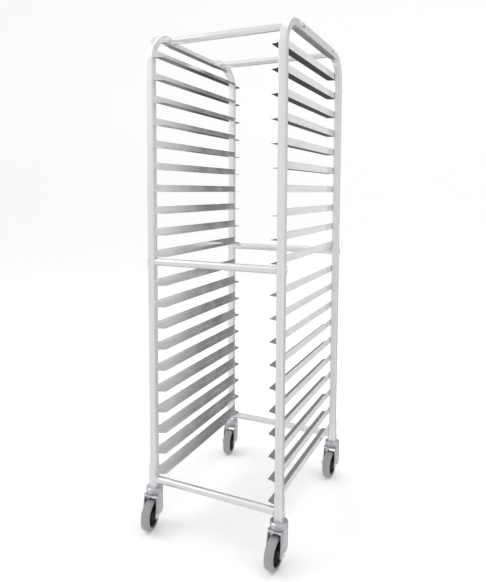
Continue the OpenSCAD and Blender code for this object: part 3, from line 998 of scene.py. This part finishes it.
def leg_depth(y):
    """The height of the fork's lower edge at a place along its side."""
    turn_y = EAR_TURN * ear_radius - trail
    if y <= turn_y:
        offset = max(-0.98, (y + trail) / ear_radius)
        return wheel_radius - ear_radius * math.sqrt(1 - offset * offset)
    start = wheel_radius - ear_radius * math.sqrt(1 - EAR_TURN * EAR_TURN)
    share = (y - turn_y) / (crown_radius - turn_y)
    return start + (crown_top - FORK_T - 6 * MM - start) * share ** 3.2


def crown_outline():
    """Pairs of points, upper and lower, from the middle of the front along the right side to the rear."""
    lip_low = crown_top - FORK_T - LIP
    front = [(0, -crown_reach), (0.5 * leg_outer, -crown_reach), (leg_outer - FRONT_ROUND, -crown_reach)]
    for turn in (22.5, 45, 67.5):
        angle = math.radians(turn)
        front.append((leg_outer - FRONT_ROUND * (1 - math.sin(angle)),
                      -crown_reach + FRONT_ROUND * (1 - math.cos(angle))))
    pairs = [((x, y, crown_top), (x, y, lip_low)) for x, y in front]
    ear_steps = 9
    ear_end = EAR_TURN * ear_radius - trail
    for k in range(ear_steps + 1):
        share = k / ear_steps
        upper = FRONT_ROUND - crown_reach + (ear_end + crown_reach - FRONT_ROUND) * share
        lower = -0.98 * ear_radius - trail + (ear_end + trail + 0.98 * ear_radius) * share
        pairs.append(((leg_outer, upper, crown_top), (leg_outer, lower, leg_depth(lower))))
    meet = -math.sqrt(crown_radius ** 2 - leg_outer ** 2)
    first = math.atan2(meet, leg_outer)
    round_steps = 14
    for k in range(round_steps + 1):
        turn = first + (math.pi / 2 - first) * k / round_steps
        x, y = crown_radius * math.cos(turn), crown_radius * math.sin(turn)
        pairs.append(((x, y, crown_top), (x, y, leg_depth(y))))
    return pairs


# %% Fold the sheet and give it its thickness
def fork_sheet():
    right = crown_outline()
    loop = right + [tuple((-x, y, z) for x, y, z in pair) for pair in reversed(right[1:-1])]
    shape = bmesh.new()
    rim = [shape.verts.new(upper) for upper, lower in loop]
    hem = [shape.verts.new(lower) for upper, lower in loop]
    hole = [shape.verts.new((*(Vector(upper[:2]).normalized() * (RECESS + 1 * MM)), crown_top))
            for upper, lower in loop]
    for k in range(len(loop)):
        shape.faces.new((rim[k - 1], rim[k], hole[k], hole[k - 1]))
        shape.faces.new((rim[k - 1], hem[k - 1], hem[k], rim[k]))
    folds = [shape.edges.get((rim[k - 1], rim[k])) for k in range(len(loop))]
    bmesh.ops.bevel(shape, geom=folds, offset=3.5 * MM, segments=4, profile=0.5, affect="EDGES",
                    clamp_overlap=True, material=-1)
    bmesh.ops.recalc_face_normals(shape, faces=shape.faces)
    crown = next(face for face in shape.faces if hole[0] in face.verts)
    if crown.normal.z < 0:
        bmesh.ops.reverse_faces(shape, faces=shape.faces)
    bmesh.ops.solidify(shape, geom=shape.faces[:], thickness=FORK_T)
    bmesh.ops.recalc_face_normals(shape, faces=shape.faces)
    return round_edges(shape, 0.5 * MM, 2, 55)


# %% Add the raised race and place the forks
def race_shape():
    """The raised race on the crown: a hollow hat over the kingpin's head, with a bead round its foot."""
    inside, under = hat_top - FORK_T, crown_top - FORK_T
    outline = [(KING_HOLE, hat_top), (KING_HOLE, inside), (RECESS, inside), (RECESS, under),
               (RECESS + 1.6 * MM, under), (RECESS + 1.6 * MM, crown_top - 0.4 * MM),
               (crown_radius, crown_top - 0.4 * MM), (crown_radius, crown_top + 1.2 * MM),
               (crown_radius - 1.4 * MM, crown_top + 2.0 * MM), (crown_radius - 1.4 * MM, hat_top)]
    return round_edges(turned(outline, 64), 0.5 * MM, 3, 25)


for corner in CORNERS:
    fork = bmesh.new()
    gather(fork, fork_sheet(), caster_frame(corner))
    gather(fork, race_shape(), caster_frame(corner))
    node = "fork_" + corner
    made = piece(node, fork, zinc_metal, "zinc_steel", "swivel_" + corner, node)
print("forks: 4, faces in one:", len(made.data.polygons))

# %% [markdown]
# ## Axle bolts
#
# Each axle is a bolt with a domed head on one side and a lock nut on the other. The nut is a six-sided
# prism with chamfered rims and a round collar that holds the locking ring.

# %% Build an axle
AXLE_R = 4.75 * MM
axle_reach = reach("axle_front_right", across)
leg_face = leg_outer + 0.1 * MM


def nut_shape():
    """A lock nut along +Z that starts at height zero."""
    height, radius = 1.8 * AXLE_R, 1.72 * AXLE_R
    shape = bmesh.new()
    made = bmesh.ops.create_cone(shape, cap_ends=True, segments=6, radius1=radius, radius2=radius,
                                 depth=0.72 * height)
    bmesh.ops.translate(shape, vec=(0, 0, 0.36 * height), verts=made["verts"])
    rims = [e for e in shape.edges if abs(e.verts[0].co.z - e.verts[1].co.z) < 0.01 * MM]
    bmesh.ops.bevel(shape, geom=rims, offset=0.5 * MM, segments=2, profile=0.5, affect="EDGES",
                    clamp_overlap=True, material=-1)
    collar = [(0, 0.6 * height), (0.80 * radius, 0.6 * height), (0.80 * radius, height - 1.0 * MM),
              (0.66 * radius, height), (0, height)]
    gather(shape, turned(collar, 24), Matrix())
    return shape


def axle_shape():
    """The whole axle along +Z: head below, shank through both legs, nut above."""
    head_r, head_h = 1.68 * AXLE_R, 1.24 * AXLE_R
    bottom = -leg_face - head_h
    dome = [(head_r * math.cos(turn), -leg_face - 0.25 * head_h - 0.75 * head_h * math.sin(turn))
            for turn in [math.radians(18 * step) for step in range(4, -1, -1)]]
    outline = [(0, bottom)] + dome + [(head_r, -leg_face), (AXLE_R, -leg_face),
                                      (AXLE_R, axle_reach - 1 * MM), (AXLE_R - 1 * MM, axle_reach),
                                      (0, axle_reach)]
    shape = turned(outline, 28)
    sleeve = leg_face - FORK_T - 0.3 * MM
    tube = [(AXLE_R + 0.1 * MM, -sleeve), (AXLE_R + 2 * MM, -sleeve), (AXLE_R + 2 * MM, sleeve),
            (AXLE_R + 0.1 * MM, sleeve)]
    gather(shape, turned(tube, 24), Matrix())
    gather(shape, nut_shape(), Matrix.Translation((0, 0, leg_face)))
    return shape


def wheel_frame(corner, nut_side=1):
    """The matrix that carries a shape drawn along +Z onto a wheel's axle."""
    to_axle = Matrix.Translation((0, -trail, wheel_radius)) @ Matrix.Rotation(nut_side * math.pi / 2, 4, "Y")
    return caster_frame(corner) @ to_axle


for corner in CORNERS:
    nut_side = 1 if corner == "front_right" else -1
    axle = bmesh.new()
    gather(axle, axle_shape(), wheel_frame(corner, nut_side))
    node = "axle_" + corner
    piece(node, axle, bolt_metal, "bright_steel", "swivel_" + corner, node)
print("axles: 4")

# %% [markdown]
# ## Wheels
#
# The core is a moulding: a hub and a rim joined by a thin web and stiffened by ribs on both sides. The
# tyre is moulded round it, with rounded shoulders, a fine flash line round the tread and a shallow
# groove in each side wall.

# %% Build a wheel core
CORE_RIBS = 8
TYRE_DEPTH = 12.0 * MM
rim_radius = wheel_radius - TYRE_DEPTH
half_core = half_tyre - 2 * MM
hub_half = leg_face - FORK_T - 1.1 * MM
hub_radius = AXLE_R + 9 * MM


def rib_shape():
    """One rib from the hub to the rim, as tall as both recesses."""
    inner, outer = hub_radius - 1 * MM, rim_radius - 4.5 * MM
    shape = bmesh.new()
    made = bmesh.ops.create_cube(shape, size=1)
    bmesh.ops.scale(shape, vec=(outer - inner, 2.6 * MM, 2 * (half_core - 3 * MM)), verts=made["verts"])
    bmesh.ops.translate(shape, vec=((inner + outer) / 2, 0, 0), verts=made["verts"])
    return round_edges(shape, 0.7 * MM)


def core_shape():
    web, seat = 3.0 * MM, rim_radius - 5 * MM
    half = [(AXLE_R + 2.06 * MM, hub_half), (hub_radius, hub_half), (hub_radius + 2 * MM, web),
            (seat, web), (seat + 1 * MM, half_core), (rim_radius, half_core)]
    outline = half + [(radius, -height) for radius, height in reversed(half)]
    shape = round_edges(turned(outline, 64), 0.6 * MM, 2, 30)
    gather(shape, rib_shape(), *[
        Matrix.Rotation(2 * math.pi * k / CORE_RIBS, 4, "Z") for k in range(CORE_RIBS)])
    return shape


# %% Build a tyre
def tyre_shape():
    half, groove = half_tyre, rim_radius + 4.5 * MM
    flash = 0.35 * MM
    side = [(rim_radius, half), (groove, half), (groove + 0.6 * MM, half - 0.6 * MM),
            (groove + 1.2 * MM, half), (wheel_radius - 5.5 * MM, half)]
    shoulder = [(wheel_radius - flash - 5.5 * MM * (1 - math.sin(turn)),
                 half - 5.5 * MM * (1 - math.cos(turn)))
                for turn in [math.radians(step) for step in (15, 30, 45, 60, 75, 90)]]
    tread = [(wheel_radius - flash, 0.7 * MM), (wheel_radius, 0)]
    upper = side + shoulder + tread
    outline = upper + [(radius, -height) for radius, height in reversed(upper[:-1])]
    return turned(outline, 96)


for corner in CORNERS:
    core, tyre = bmesh.new(), bmesh.new()
    gather(core, core_shape(), wheel_frame(corner))
    gather(tyre, tyre_shape(), wheel_frame(corner))
    body = "wheel_" + corner
    piece("wheel_core_" + corner, core, core_plastic, "black_plastic", body, "wheel_core_" + corner)
    made = piece("tyre_" + corner, tyre, tyre_rubber, "grey_tyre", body, "tyre_" + corner)
print("wheels: 4, faces in a tyre:", len(made.data.polygons))

# %% [markdown]
# ## Parts that keep their frame shape
#
# Plugs, sockets, stems and balls are hidden inside the tubes and casters. Their shape in the frame is
# right, so they only change their finish.

# %% Finish the hidden parts
KEPT = {"crossbar_end_plugs": zinc_metal, "stem_sockets": zinc_metal, "caster_stems": bolt_metal,
        "swivel_balls": bolt_metal}
for node, metal in KEPT.items():
    kept = frame["nodes"][node]
    for place in kept.material_slots:
        place.link = "OBJECT"
        place.material = metal
    print(node, "slots:", len(kept.material_slots))
